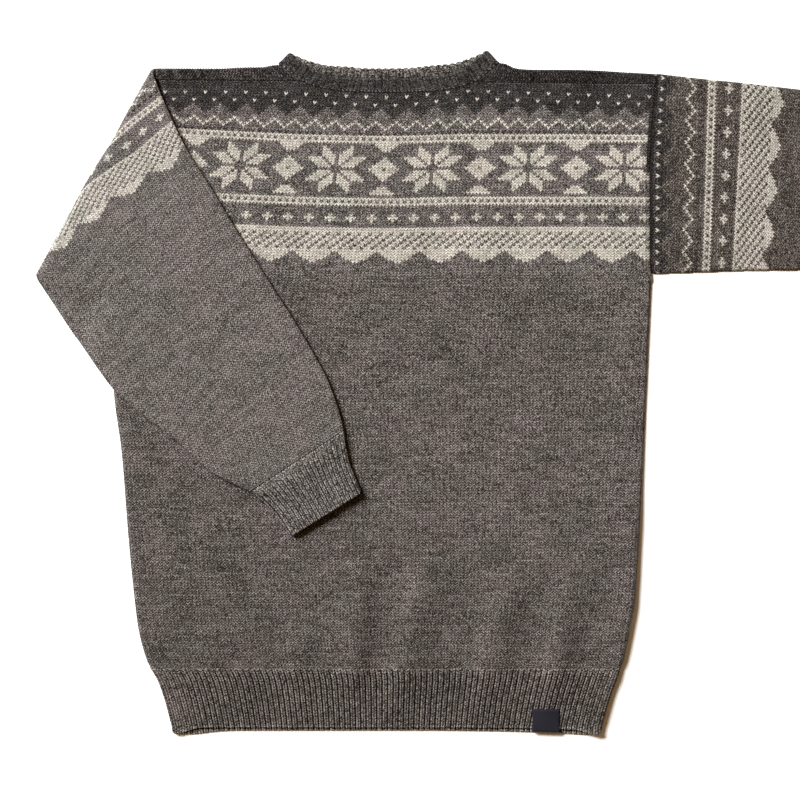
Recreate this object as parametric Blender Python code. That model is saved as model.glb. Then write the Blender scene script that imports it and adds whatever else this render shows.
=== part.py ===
"""A knitted pullover that lies flat on a surface, with its left sleeve folded over the front.

The tables and sizes below are in millimetres. +X is the wearer's left as the front faces up,
+Y runs up to the shoulders, +Z is up, and the origin is on the surface under the body's middle.
"""

import math

import bmesh
import bpy

MM = 0.001

# Cloth
WALL = 2.4
GAP = 0.3
HALF_GAP = GAP / 2
BACK_TOP = WALL
FRONT_UNDER = WALL + GAP
FRONT_TOP = FRONT_UNDER + WALL
RIB_RISE = 0.6

# Body, up to the underarm: height up the body, left edge, right edge
BODY_SIDES = (
    (-268.3, -242.8, 237.7),
    (-260.0, -246.8, 241.2),
    (-229.5, -255.0, 246.8),
    (-198.9, -259.1, 251.9),
    (-137.7, -265.2, 255.5),
    (-45.9, -272.6, 261.1),
    (0.0, -279.0, 263.1),
    (30.0, -281.6, 264.6),
    (66.3, -282.0, 266.2),
    (127.5, -273.4, 269.3),
)
# Armhole, foot then top: height, left armhole, right armhole
ARMHOLES = ((127.5, -273.4, 269.3), (342.7, -231.5, 269.3))
HEM_TOP = -268.3
UNDERARM = 127.5
BACK_STEP = 3.5
SHOULDER_SEAM = 330.0
SHOULDER_SLOPE = -0.008
BODY_ROWS = (-256, -242, -226, -208, -186, -160, -128, -90, -50, -10, 30, 70, 104)
YOKE_ROWS = (165, 205, 245, 285, 308)
FRONT_SIDE_COLUMNS = (8, 10)
BACK_SIDE_COLUMNS = (3, 3)
NECK_COLUMNS = (20, 40, 54, 65, 73, 80, 87)

# Soft ridges of the front above the hem: lower end, upper end, half width, height
RIDGES = (
    (-43.9, -262.0, -36.7, -150.0, 13.0, 1.1),
    (4.0, -262.0, 6.0, -184.0, 12.0, 0.9),
    (79.6, -258.0, 120.0, -172.0, 13.0, 1.2),
    (144.8, -258.0, 175.4, -192.0, 11.0, 1.0),
    (-100.0, -258.0, -105.0, -205.0, 14.0, 0.6),
    (-166.0, -258.0, -176.0, -190.0, 15.0, 0.7),
)

# Hem rib: height up the body, left edge, right edge
HEM_SIDES = (
    (-268.6, -242.8, 237.7),
    (-280.5, -235.6, 232.6),
    (-300.0, -228.4, 224.4),
    (-328.4, -221.3, 216.2),
)
HEM_RIBS = 78
# Place across the hem, front layer's lower edge, back layer's lower edge
HEM_EDGE = (
    (-222.0, -331.0, -336.5),
    (-195.0, -328.6, -334.5),
    (-160.0, -328.4, -332.0),
    (30.0, -328.4, -332.0),
    (115.0, -328.9, -333.5),
    (180.0, -331.0, -336.5),
    (217.0, -333.5, -337.5),
)

# Neck, about the line X = NECK_MIDDLE. Each curve: share of the way to the corner, height
NECK_MIDDLE = 1.0
NECK_HALF_SEAM = 112.4
NECK_HALF_TOP = 100.5
NECK_TILT = 0.015
FRONT_NECK_SEAM = ((0, 318.8), (0.39, 319.8), (0.581, 322.8), (0.754, 328.4), (0.881, 337.6), (1, 348.6))
FRONT_NECK_TOP = ((0, 333.0), (0.396, 334.1), (0.6, 336.9), (0.746, 342.2), (0.868, 349.9), (1, 360.0))
BACK_NECK_SEAM = ((0, 330.0), (0.39, 330.9), (0.581, 333.0), (0.754, 337.0), (0.881, 341.5), (1, 348.6))
BACK_NECK_TOP = ((0, 344.0), (0.2, 344.3), (0.408, 346.3), (0.607, 347.8), (0.82, 352.9), (1, 360.0))
BACK_SHOULDER_SEAM = 336.5
NECK_RIBS = 30
NECK_FRONT_UNDER = 3.3
NECK_CORNER_SPEED = 145.0

# Shoulder fold: place across, height of the folded edge
SHOULDER_LEFT = ((-232.0, 343.9), (-161.0, 344.2), (-130.6, 345.2), (-120.4, 346.6), (-109.0, 347.6))
SHOULDER_RIGHT = ((110.0, 347.4), (124.4, 345.8), (134.6, 342.9), (155.0, 341.9), (190.0, 342.5), (269.0, 338.6))

# Sleeves, unfolded and flat: upper edge X, Y, then lower edge X, Y, from armhole to cuff
RIGHT_SLEEVE = (
    (269.3, 338.6, 269.3, 133.6),
    (318.2, 333.5, 318.2, 134.6),
    (369.2, 328.4, 369.2, 136.2),
    (420.2, 322.3, 420.2, 136.7),
    (481.4, 316.2, 481.4, 137.7),
    (552.8, 312.1, 542.6, 140.8),
    (624.2, 309.1, 603.8, 152.0),
    (670.1, 302.9, 649.7, 162.2),
    (697.7, 292.7, 695.6, 180.5),
)
RIGHT_CUFF_END = (764.0, 273.4, 761.9, 187.7)
LEFT_SLEEVE_UPPER = (
    (-231.5, 342.7),
    (-243.4, 345.2),
    (-284.9, 339.6),
    (-342.0, 334.5),
    (-414.4, 335.5),
    (-478.7, 337.6),
    (-548.0, 339.6),
    (-601.1, 337.6),
    (-640.9, 330.4),
    (-664.3, 323.3),
)
LEFT_SLEEVE_LOWER = (
    (-273.4, 127.5),
    (-319.3, 130.2),
    (-360.7, 134.2),
    (-431.8, 137.3),
    (-497.0, 142.2),
    (-554.2, 159.1),
    (-584.8, 171.3),
    (-628.6, 184.6),
    (-668.4, 209.0),
)
LEFT_CUFF_END = (-726.5, 305.9, -727.6, 221.3)
SLEEVE_HEIGHT = 5.25
SLEEVE_SLIT = 0.45
CUFF_RIBS = 26
# Share of the cuff's length, share of the way from its first to its last width
CUFF_TAPER = ((0.0, 0.0), (0.3, 0.5), (0.6, 0.82), (1.0, 1.0))

# The left sleeve's fold
CREASE_TOP = (-240.7, 343.7)
CREASE_FOOT = (-358.0, 135.7)
FOLD_RADIUS = 5.4
FOLD_STEPS = 5
FAN_RINGS = 2
LAID_RINGS = 15
SAG_START = 3.0
SAG_RUN = 30.0

# Label on the hem: left, right, top edge, thickness, height of its lapped foot
LABEL_LEFT = 147.0
LABEL_RIGHT = 175.4
LABEL_TOP = -310.1
LABEL_THICK = 0.6
LABEL_FOOT = 3.2

# Colours, linear
HEATHER = (0.130, 0.112, 0.100)
HEATHER_RIB = (0.085, 0.072, 0.064)
CHARCOAL = (0.038, 0.032, 0.029)
NAVY = (0.028, 0.028, 0.045)


def slopes(keys, values):
    """Tangents of a curve through the points that never overshoots them."""
    steps = [(values[i + 1] - values[i]) / (keys[i + 1] - keys[i]) for i in range(len(keys) - 1)]
    inner = [2 * a * b / (a + b) if a * b > 0 else 0.0 for a, b in zip(steps, steps[1:])]
    return [steps[0], *inner, steps[-1]]


def along(table, at, column=1):
    """A smooth curve through one column of a table, whose first column only grows."""
    keys = [row[0] for row in table]
    values = [row[column] for row in table]
    at = min(max(at, keys[0]), keys[-1])
    i = max(k for k in range(len(keys) - 1) if keys[k] <= at)
    span = keys[i + 1] - keys[i]
    t = (at - keys[i]) / span
    lean = slopes(keys, values)
    return (
        values[i] * (1 + 2 * t) * (1 - t) ** 2
        + values[i + 1] * t * t * (3 - 2 * t)
        + lean[i] * span * t * (1 - t) ** 2
        - lean[i + 1] * span * t * t * (1 - t)
    )


def smoothstep(t):
    t = min(max(t, 0.0), 1.0)
    return t * t * (3 - 2 * t)


def path_point(points, share):
    """The point at a share of the length of a line through points."""
    lengths = [0.0]
    for a, b in zip(points, points[1:]):
        lengths.append(lengths[-1] + math.dist(a, b))
    keys = [length / lengths[-1] for length in lengths]
    xs = [(k, p[0]) for k, p in zip(keys, points)]
    ys = [(k, p[1]) for k, p in zip(keys, points)]
    return along(xs, share), along(ys, share)


def neck_curve(seam, top, rise, q):
    """A point of the neckband, rise from seam 0 to top edge 1, q from corner -1 to corner 1."""
    half = NECK_HALF_SEAM + rise * (NECK_HALF_TOP - NECK_HALF_SEAM)
    low = along(seam, abs(q))
    tilt = NECK_TILT * q * half
    return NECK_MIDDLE + q * half, low + rise * (along(top, abs(q)) + tilt - low)


def neck_reach(seam, y):
    """How far from the middle the neck seam is at a height."""
    return along([(height, share) for share, height in seam], y) * NECK_HALF_SEAM


def shoulder_seam(x):
    return SHOULDER_SEAM + SHOULDER_SLOPE * x


def neck_height(seam, x):
    return along(seam, abs(x - NECK_MIDDLE) / NECK_HALF_SEAM)


def body_edges(y):
    """The body's left and right edges at a height: its sides, then its straight armholes."""
    if y <= UNDERARM:
        return along(BODY_SIDES, y, 1), along(BODY_SIDES, y, 2)
    return along(ARMHOLES, y, 1), along(ARMHOLES, y, 2)


def front_top_line(x):
    return min(shoulder_seam(x), neck_height(FRONT_NECK_SEAM, x) - HALF_GAP) - GAP


def back_top_line(x):
    return min(BACK_SHOULDER_SEAM, neck_height(BACK_NECK_SEAM, x) - HALF_GAP) - GAP


def ridges(x, y):
    """How high the soft folds lift the front."""
    lift = 0.0
    for x0, y0, x1, y1, half_width, height in RIDGES:
        length = math.hypot(x1 - x0, y1 - y0)
        ux, uy = (x1 - x0) / length, (y1 - y0) / length
        run = (x - x0) * ux + (y - y0) * uy
        off = (x - x0) * uy - (y - y0) * ux
        rise = smoothstep((run + 14) / 16) * smoothstep((length - run) / (0.7 * length))
        lift += height * rise * math.exp(-((off / half_width) ** 2))
    return lift


class Wall:
    """The points and faces of one closed piece of cloth."""

    def __init__(self):
        self.points = []
        self.faces = []

    def chain(self, points):
        first = len(self.points)
        self.points += points
        return list(range(first, len(self.points)))

    def skin(self, rows, closed=False):
        for low, high in zip(rows, rows[1:]):
            for j in range(len(low) if closed else len(low) - 1):
                k = (j + 1) % len(low)
                self.faces.append((low[j], low[k], high[k], high[j]))

    def cap(self, outer, inner):
        """Triangles between two chains that run the same way across."""
        i = j = 0
        outer_shares, inner_shares = self.shares(outer), self.shares(inner)
        while i < len(outer) - 1 or j < len(inner) - 1:
            if outer_shares[i + 1] <= inner_shares[j + 1]:
                self.faces.append((outer[i], outer[i + 1], inner[j]))
                i += 1
            else:
                self.faces.append((outer[i], inner[j + 1], inner[j]))
                j += 1

    def shares(self, chain):
        """Each point's share of the chain's length, with one value past its end."""
        runs = [0.0]
        for a, b in zip(chain, chain[1:]):
            runs.append(runs[-1] + math.dist(self.points[a], self.points[b]))
        return [min(run / runs[-1], 0.999999) for run in runs] + [2.0]


def cloth(name, wall, colour, roughness=0.95):
    """The wall as an object, with its own material."""
    mesh = bpy.data.meshes.new(name)
    mesh.from_pydata([tuple(c * MM for c in p) for p in wall.points], [], wall.faces)
    shaped = bmesh.new()
    shaped.from_mesh(mesh)
    bmesh.ops.recalc_face_normals(shaped, faces=shaped.faces)
    bmesh.ops.triangulate(shaped, faces=shaped.faces)
    shaped.to_mesh(mesh)
    shaped.free()
    mesh.shade_smooth()
    mesh.set_sharp_from_angle(angle=math.radians(50))
    material = bpy.data.materials.new(name)
    material.use_nodes = True
    surface = material.node_tree.nodes["Principled BSDF"]
    surface.inputs["Base Color"].default_value = (*colour, 1.0)
    surface.inputs["Roughness"].default_value = roughness
    surface.inputs["Metallic"].default_value = 0.0
    mesh.materials.append(material)
    piece = bpy.data.objects.new(name, mesh)
    bpy.context.collection.objects.link(piece)
    piece.parent = bpy.data.objects["sweater"]
    return piece


def panel(outer_rows, inner_rows):
    """A wall between an outer and an inner skin, closed at its sides and both ends."""
    wall = Wall()
    outer = [wall.chain(row) for row in outer_rows]
    inner = [wall.chain(row) for row in inner_rows]
    wall.skin(outer)
    wall.skin(inner)
    for side in (0, -1):
        wall.skin([[out[side], inn[side]] for out, inn in zip(outer, inner)])
    for end in (0, -1):
        wall.cap(outer[end], inner[end])
    return wall


def tube(stations, profile, place):
    """A flattened tube, open at both ends. Its profile has four chains of (share across,
    inset, height) from one folded edge to the other: outer and inner, upper and lower."""
    wall = Wall()
    rings = {"outer": [], "inner": []}
    for side, loops in rings.items():
        for station in stations:
            upper, lower = (
                [place(station, layer, *entry) for entry in profile[side, layer]]
                for layer in ("upper", "lower")
            )
            top = wall.chain(upper)
            bottom = wall.chain(lower[1:-1])
            loops.append((top, [top[0], *bottom, top[-1]]))
        wall.skin([top + bottom[-2:0:-1] for top, bottom in loops], closed=True)
    for end in (0, -1):
        for layer in (0, 1):
            wall.cap(rings["outer"][end][layer], rings["inner"][end][layer])
    return wall


def evenly(count):
    return [((i + 0.5) / count, 0.0) for i in range(count)]


def ribbed(count, rise):
    """Places across a ribbed layer and how far each stands out, four to a rib."""
    shape = ((0.08, 0.0), (0.30, rise), (0.70, rise), (0.92, 0.0))
    return [((i + place) / count, out) for i in range(count) for place, out in shape]


def rounded(middle, height, top, tip):
    """A chain across one outer layer: rounded at both folded edges, flat between them."""
    reach = abs(top - tip)
    sign = 1 if top > tip else -1
    start = [(0, 0.0, tip), (0, 0.3 * reach, tip + sign * 0.8 * reach), (0, reach, top)]
    flat = [(f, reach * (1 - 2 * f), height(f, out)) for f, out in middle]
    return start + flat + [(1, -inset, z) for _, inset, z in reversed(start)]


def slit(middle, height, top, tip):
    """A chain across one inner layer."""
    start = [(0, WALL, tip), (0, WALL + 0.8, top)]
    flat = [(f, (WALL + 0.8) * (1 - 2 * f), height(f, out)) for f, out in middle]
    return start + flat + [(1, -inset, z) for _, inset, z in reversed(start)]


def tube_profile(upper, lower, inner, height=SLEEVE_HEIGHT):
    """The four chains of a tube that lies flat, with an even wall round a thin slit."""
    tip = height / 2
    half = SLEEVE_SLIT / 2
    return {
        ("outer", "upper"): rounded(upper, lambda f, out: height + out, height, tip),
        ("outer", "lower"): rounded(lower, lambda f, out: -out, 0.0, tip),
        ("inner", "upper"): slit(inner, lambda f, out: tip + half, tip + half, tip),
        ("inner", "lower"): slit(inner, lambda f, out: tip - half, tip - half, tip),
    }


def side_edge(wrapped, seam_rise):
    """The front's edge in section: (inset, height) down its outer and its inner skin."""
    if wrapped:
        steps = (0, 22.5, 45, 67.5, 90)
        outer = [
            (FRONT_TOP * (1 - math.cos(math.radians(a))), FRONT_TOP * math.sin(math.radians(a)))
            for a in steps
        ]
        inner = [
            (
                FRONT_TOP - FRONT_UNDER * math.cos(math.radians(a)),
                FRONT_UNDER * math.sin(math.radians(a)),
            )
            for a in (0, 45, 90)
        ]
        return outer, inner
    outer = [
        (HALF_GAP, 3.2),
        (HALF_GAP, 4.6),
        (0.7, FRONT_TOP + 0.6 * seam_rise),
        (2.4, FRONT_TOP + seam_rise),
        (5.6, FRONT_TOP),
    ]
    return outer, [(HALF_GAP, FRONT_UNDER), (2.4, FRONT_UNDER), (5.6, FRONT_UNDER)]


def inside(low, high, count):
    """Even places between two others."""
    return [low + (high - low) * (i + 1) / (count + 1) for i in range(count)]


def body_columns(side_columns):
    """Shares of the body's width at which its rows have points, close together at the neck."""
    left, right = ARMHOLES[1][1:]
    neck = sorted({NECK_MIDDLE + side * c for c in (0, *NECK_COLUMNS) for side in (-1, 1)})
    places = inside(left, neck[0], side_columns[0]) + neck + inside(neck[-1], right, side_columns[1])
    return [(x - left) / (right - left) for x in places]


def body_stations(underarm, every=1):
    """Rows up the body: (height, whether its sides wrap round), and None for the top line."""
    low = [(y, True) for y in (HEM_TOP + HALF_GAP, *BODY_ROWS[::every], underarm - 1)]
    return low + [(y, False) for y in (underarm + 1, *YOKE_ROWS[::every])] + [(None, False)]


def body_row(y, top_line, left_edge, middle, right_edge, lift):
    """Points across the body from its left edge to its right one."""
    left, right = body_edges(top_line(ARMHOLES[1][1]) if y is None else y)
    places = [(left + inset, z) for inset, z in left_edge]
    places += [(left + f * (right - left), z) for f, z in middle]
    places += [(right - inset, z) for inset, z in reversed(right_edge)]
    row = []
    for x, z in places:
        height = top_line(x) if y is None else y
        row.append((x, height, z + (lift(x, height) if z > BACK_TOP else 0.0)))
    return row


def body_front():
    outer_rows, inner_rows = [], []
    columns = body_columns(FRONT_SIDE_COLUMNS)
    for y, wrapped in body_stations(UNDERARM):
        left_outer, left_inner = side_edge(wrapped, 0.0)
        right_outer, right_inner = side_edge(wrapped, 0.8)
        outer_rows.append(
            body_row(y, front_top_line, left_outer, [(f, FRONT_TOP) for f in columns], right_outer, ridges)
        )
        inner_rows.append(
            body_row(y, front_top_line, left_inner, [(f, FRONT_UNDER) for f in columns], right_inner, ridges)
        )
    cloth("body_front", panel(outer_rows, inner_rows), HEATHER)


def body_back():
    """The back lies on the surface, inside the front's wrapped sides."""
    upper, under = [], []
    columns = body_columns(BACK_SIDE_COLUMNS)
    for y, wrapped in body_stations(UNDERARM + BACK_STEP, every=2):
        inset = FRONT_TOP + GAP if wrapped else HALF_GAP
        for rows, z in ((upper, BACK_TOP), (under, 0.0)):
            edge = [(inset, z)]
            rows.append(body_row(y, back_top_line, edge, [(f, z) for f in columns], edge, lambda x, y: 0.0))
    cloth("body_back", panel(upper, under), HEATHER)


def hem_rib():
    """The ribbed band round the lower edge, its back layer a little longer than its front."""

    def place(station, layer, f, inset, z):
        y, left, right = HEM_SIDES[station]
        x = left + f * (right - left) + inset
        if station == len(HEM_SIDES) - 1:
            y = along(HEM_EDGE, x, 1 if layer == "upper" and 0 < f < 1 else 2)
        return x, y, z

    profile = tube_profile(ribbed(HEM_RIBS, RIB_RISE), evenly(10), evenly(10), FRONT_TOP)
    cloth("hem_rib", tube(range(len(HEM_SIDES)), profile, place), HEATHER_RIB)


def neckband():
    """The ribbed ring round the neck: its front run lies over the foot of its back run."""

    def place(rise, layer, f, inset, z):
        q = 2 * f - 1 + inset / NECK_CORNER_SPEED
        if layer == "upper":
            x, y = neck_curve(FRONT_NECK_SEAM, FRONT_NECK_TOP, rise, q)
        else:
            x, y = neck_curve(BACK_NECK_SEAM, BACK_NECK_TOP, rise, q)
        return x, y, z

    ribs = ribbed(NECK_RIBS, RIB_RISE)
    front, tip = NECK_FRONT_UNDER + WALL, NECK_FRONT_UNDER - GAP
    plain = evenly(24)
    profile = {
        ("outer", "upper"): rounded(ribs, lambda f, out: front + out, front, tip),
        ("outer", "lower"): rounded(plain, lambda f, out: 0.0, 0.0, tip),
        ("inner", "upper"): slit(plain, lambda f, out: NECK_FRONT_UNDER, NECK_FRONT_UNDER, tip - 0.1),
        ("inner", "lower"): slit(ribs, lambda f, out: BACK_TOP + out, BACK_TOP, tip - 0.1),
    }
    cloth("neckband", tube((0.0, 0.5, 1.0), profile, place), CHARCOAL)


def shoulder_strap(name, shoulder, armhole, side):
    """A strip that wraps over the shoulder, from the front's seam to the back's."""
    bend = FRONT_TOP / 2
    front_steps, back_steps = (0.0, 0.34, 0.67, 1.0), (0.0, 0.5, 1.0)

    def section(share):
        x_middle = armhole + share * (shoulder[0][0] + shoulder[-1][0] - 2 * armhole)
        outer, inner = [], []
        fold = along(shoulder, x_middle)
        seam = shoulder_seam(x_middle)

        def at(y, z, seam_curve):
            end = NECK_MIDDLE + side * (neck_reach(seam_curve, y) + 3 * GAP)
            x = armhole + share * (end - armhole)
            return x, y, z

        for step in front_steps:
            outer.append(at(seam + step * (fold - bend - seam), FRONT_TOP, FRONT_NECK_SEAM))
            inner.append(at(seam + step * (fold - bend - seam), FRONT_UNDER, FRONT_NECK_SEAM))
        for back, z in ((0.3, 0.9), (0.0, 0.5), (0.3, 0.1)):
            outer.append(at(fold - back * bend, z * FRONT_TOP, FRONT_NECK_SEAM))
        inner.append(at(fold - WALL, bend, FRONT_NECK_SEAM))
        for step in back_steps:
            y = fold - bend + step * (BACK_SHOULDER_SEAM - fold + bend)
            outer.append(at(y, 0.0, BACK_NECK_SEAM))
            inner.append(at(y, BACK_TOP, BACK_NECK_SEAM))
        return outer, inner

    shares = [i / 10 for i in range(11)]
    sections = [section(share) for share in shares]
    cloth(name, panel([s[0] for s in sections], [s[1] for s in sections]), CHARCOAL)


def between(upper, lower, f, inset):
    """A point on the straight line across a sleeve."""
    width = math.dist(upper, lower)
    share = f + inset / width
    return tuple(u + share * (v - u) for u, v in zip(upper, lower))


def cuff_ring(start, end, share):
    """The upper and lower edge points of a cuff at a share of its length."""
    taper = along(CUFF_TAPER, share)
    edges = [tuple(a + share * (b - a) for a, b in zip(start[k], end[k])) for k in (0, 1)]
    middle = tuple((a + b) / 2 for a, b in zip(*edges))
    widths = [math.dist(*ends) for ends in (start, end)]
    scale = (widths[0] + taper * (widths[1] - widths[0])) / math.dist(*edges)
    return tuple(tuple(m + scale * (c - m) for m, c in zip(middle, edge)) for edge in edges)


def sleeve_right():
    upper = [(row[0], row[1]) for row in RIGHT_SLEEVE]
    lower = [(row[2], row[3]) for row in RIGHT_SLEEVE]

    def place(share, layer, f, inset, z):
        x, y = between(path_point(upper, share), path_point(lower, share), f, inset)
        shift = HALF_GAP * (1 - 2 * share)
        return x + shift, y, z

    shares = [i / 12 for i in range(13)]
    profile = tube_profile(evenly(14), evenly(6), evenly(8))
    cloth("sleeve_right", tube(shares, profile, place), HEATHER)


def cuff_right():
    start = ((RIGHT_SLEEVE[-1][0], RIGHT_SLEEVE[-1][1]), (RIGHT_SLEEVE[-1][2], RIGHT_SLEEVE[-1][3]))
    end = (RIGHT_CUFF_END[:2], RIGHT_CUFF_END[2:])

    def place(share, layer, f, inset, z):
        x, y = between(*cuff_ring(start, end, share), f, inset)
        return x + HALF_GAP, y, z

    profile = tube_profile(ribbed(CUFF_RIBS, RIB_RISE), evenly(6), evenly(6))
    cloth("cuff_right", tube((0, 0.3, 0.6, 1.0), profile, place), HEATHER_RIB)


def fold_out():
    """The level direction across the crease, away from the body."""
    dx, dy = CREASE_FOOT[0] - CREASE_TOP[0], CREASE_FOOT[1] - CREASE_TOP[1]
    length = math.hypot(dx, dy)
    return dy / length, -dx / length


def past_axis(x, y):
    """How far beyond the bend's axis a point of the unfolded sleeve is."""
    out = fold_out()
    return (x - CREASE_TOP[0]) * out[0] + (y - CREASE_TOP[1]) * out[1] + FOLD_RADIUS


def sag(x, y):
    """How far the laid sleeve drops where neither the body nor the sleeve's root is under it."""
    underarm, foot = ARMHOLES[0], CREASE_FOOT
    beside_body = body_edges(y)[0] - x
    root = (underarm[0] - foot[1]) / (underarm[1] - foot[0])
    below_root = CREASE_FOOT[1] + root * (x - CREASE_FOOT[0]) - y
    clear = max(0.0, min(beside_body, below_root))
    return (2 * FOLD_RADIUS - SLEEVE_HEIGHT) * smoothstep((clear - SAG_START) / SAG_RUN)


def folded(x, y, z):
    """Where a point of the unfolded left sleeve lies once it is folded over the front."""
    beyond = past_axis(x, y)
    if beyond <= 0:
        return x, y, z
    turn = min(beyond / FOLD_RADIUS, math.pi)
    laid = max(0.0, beyond - math.pi * FOLD_RADIUS)
    radius = FOLD_RADIUS - z
    shift = radius * math.sin(turn) - laid - beyond
    out = fold_out()
    x, y = x + shift * out[0], y + shift * out[1]
    z = FOLD_RADIUS - radius * math.cos(turn)
    return x, y, z - (sag(x, y) if laid > 0 else 0.0)


def crossing(points, beyond):
    """Where a sleeve edge is so far beyond the bend's axis."""
    steps = 400
    line = [path_point(points, i / steps) for i in range(steps + 1)]
    for a, b in zip(line, line[1:]):
        before, after = past_axis(*a), past_axis(*b)
        if before <= beyond <= after:
            t = (beyond - before) / (after - before)
            return tuple(u + t * (v - u) for u, v in zip(a, b))
    raise ValueError("the sleeve's edge doesn't reach the fold")


def rest_of(points, start, share):
    """A point further along a sleeve edge, from start to its end."""
    kept = [start] + [p for p in points if past_axis(*p) > past_axis(*start) + 1.0]
    return path_point(kept, share)


def left_sleeve_rings():
    """Upper and lower edge points: a fan over the root, the bend, then the laid part."""
    upper, lower = LEFT_SLEEVE_UPPER, LEFT_SLEEVE_LOWER
    axis = [crossing(edge, 0.0) for edge in (upper, lower)]
    rings = [(upper[0], lower[0])]
    for i in range(1, FAN_RINGS + 1):
        t = i / (FAN_RINGS + 1)
        rings.append(
            tuple(tuple(u + t * (v - u) for u, v in zip(a, b)) for a, b in zip(rings[0], axis))
        )
    for i in range(FOLD_STEPS + 1):
        beyond = math.pi * FOLD_RADIUS * i / FOLD_STEPS
        rings.append(tuple(crossing(edge, beyond) for edge in (upper, lower)))
    start = rings[-1]
    for i in range(1, LAID_RINGS + 1):
        share = i / LAID_RINGS
        rings.append(tuple(rest_of(edge, s, share) for edge, s in zip((upper, lower), start)))
    return rings


def sleeve_left():
    rings = left_sleeve_rings()

    def place(ring, layer, f, inset, z):
        x, y = between(*rings[ring], f, inset)
        if ring == 0:
            x -= HALF_GAP
        if ring == len(rings) - 1:
            x += HALF_GAP
        return folded(x, y, z)

    profile = tube_profile(evenly(20), evenly(20), evenly(10))
    cloth("sleeve_left", tube(range(len(rings)), profile, place), HEATHER)


def cuff_left():
    start = (LEFT_SLEEVE_UPPER[-1], LEFT_SLEEVE_LOWER[-1])
    end = (LEFT_CUFF_END[:2], LEFT_CUFF_END[2:])

    def place(share, layer, f, inset, z):
        x, y = between(*cuff_ring(start, end, share), f, inset)
        return folded(x - HALF_GAP, y, z)

    profile = tube_profile(evenly(6), ribbed(CUFF_RIBS, RIB_RISE), evenly(6))
    cloth("cuff_left", tube((0, 0.3, 0.6, 1.0), profile, place), HEATHER_RIB)


def hem_label():
    """A small woven label that lies on the hem's front and laps over its lower edge."""
    under = FRONT_TOP + RIB_RISE + GAP
    top = under + LABEL_THICK
    steps = 4
    outer_rows, inner_rows = [], []
    for i in range(steps + 1):
        x = LABEL_LEFT + (LABEL_RIGHT - LABEL_LEFT) * i / steps
        edge = along(HEM_EDGE, x, 1) - GAP
        lip = edge - LABEL_THICK
        outer_rows.append([(x, LABEL_TOP, top), (x, lip + 0.5, top), (x, lip, top - 0.5), (x, lip, LABEL_FOOT)])
        inner_rows.append([(x, LABEL_TOP, under), (x, edge, under), (x, edge, LABEL_FOOT)])
    cloth("hem_label", panel(outer_rows, inner_rows), NAVY, roughness=0.6)


def build():
    for old in list(bpy.data.objects):
        bpy.data.objects.remove(old, do_unlink=True)
    bpy.context.collection.objects.link(bpy.data.objects.new("sweater", None))
    body_back()
    body_front()
    hem_rib()
    left_armhole, right_armhole = ARMHOLES[1][1:]
    shoulder_strap("shoulder_strap_left", SHOULDER_LEFT, left_armhole + HALF_GAP, -1)
    shoulder_strap("shoulder_strap_right", SHOULDER_RIGHT, right_armhole - HALF_GAP, 1)
    neckband()
    sleeve_right()
    cuff_right()
    sleeve_left()
    cuff_left()
    hem_label()


build()
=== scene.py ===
"""Looks of the sweater: stitches, ribs, seams, wool, floor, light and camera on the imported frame.

Sizes are in millimetres, as in the part's source, unless a comment says otherwise.
A knitted skin is a grid: u counts stitches across, v counts rows, each stitch is two slanting legs.
"""

import math

import bmesh
import bpy
import numpy as np
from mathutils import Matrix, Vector


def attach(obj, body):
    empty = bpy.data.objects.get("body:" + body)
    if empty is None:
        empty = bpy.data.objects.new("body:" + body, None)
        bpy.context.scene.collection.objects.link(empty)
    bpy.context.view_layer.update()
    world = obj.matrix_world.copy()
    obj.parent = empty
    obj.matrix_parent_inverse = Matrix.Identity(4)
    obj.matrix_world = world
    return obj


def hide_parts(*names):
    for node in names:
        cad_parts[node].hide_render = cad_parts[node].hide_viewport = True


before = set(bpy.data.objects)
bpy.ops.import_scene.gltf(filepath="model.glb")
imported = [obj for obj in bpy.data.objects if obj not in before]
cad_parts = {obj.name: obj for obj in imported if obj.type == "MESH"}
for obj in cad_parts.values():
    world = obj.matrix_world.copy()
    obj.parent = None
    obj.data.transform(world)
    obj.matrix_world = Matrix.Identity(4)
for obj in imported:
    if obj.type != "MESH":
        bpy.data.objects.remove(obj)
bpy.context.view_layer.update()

MM = 0.001
ROOT = "root"
SEED = 73

# Cloth, and gaps between its pieces
WALL = 2.4
HALF_WALL = WALL / 2
FRONT_TOP = 5.1
STITCH = 3.7
JOIN_GAP = 0.15
SEAM_GAP = 0.3
SEAM_LAP = 0.25

# Relief of a skin: a leg rises LEAN rows outward
LEAN = 0.72
LEG_RISE = 0.8
WALE_GROOVE = 0.6
BEAD_GROOVE = 0.15
FOOT_DIP = 0.1
SKIN_LEVEL = -0.45
LEAST_HEIGHT = 0.05
# In metres and square metres
WELD = 1e-6
LEAST_FACE = 2e-10

# Shades of legs: legs to one drift of the yarn, then a leg's own part and the drift's
YARN_DRIFT = 10
OWN_SHADE, DRIFT_SHADE = 0.85, 0.58

# Yarns, as values of the yarn attribute, and where its ramps change
GREY, CHARCOAL, WHITE = 0.0, 0.5, 1.0
YARN_STOPS = (0.0, 0.25, 0.75)

# The crest attribute sets painted shade and light: 0 in a valley, where the painted shade is
# darkest, 1 on a crest, and above 1 the wool gets a painted highlight
HEAD_CREST, LEG_CREST, FOOT_CREST = 0.6, 0.95, 0.12
# Crest values of a skin's first row and of the rows where pieces join, which set the painted shade
# along these seams
FIRST_ROW_CREST = 0.6
JOIN_CREST = 0.59
CUFF_JOIN_CREST = 0.70
BEAD_CREST, BEAD_SIDE_CREST, BEAD_LEG_CREST = 0.85, 0.3, 0.8
BACK_CREST = 0.7
# How much of the crest a sleeve's first rows keep: painted shade in the armhole seam
PAINTED_SEAM_SHADE = 0.3
# Painted light on the right side's wall, which faces away from the sun: what the columns beside it
# add to the crest, and their limit
SIDE_CREST = (0.15, 0.35, 0.6, 0.85, 1.0)
SIDE_CREST_LIMIT = 1.12

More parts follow.
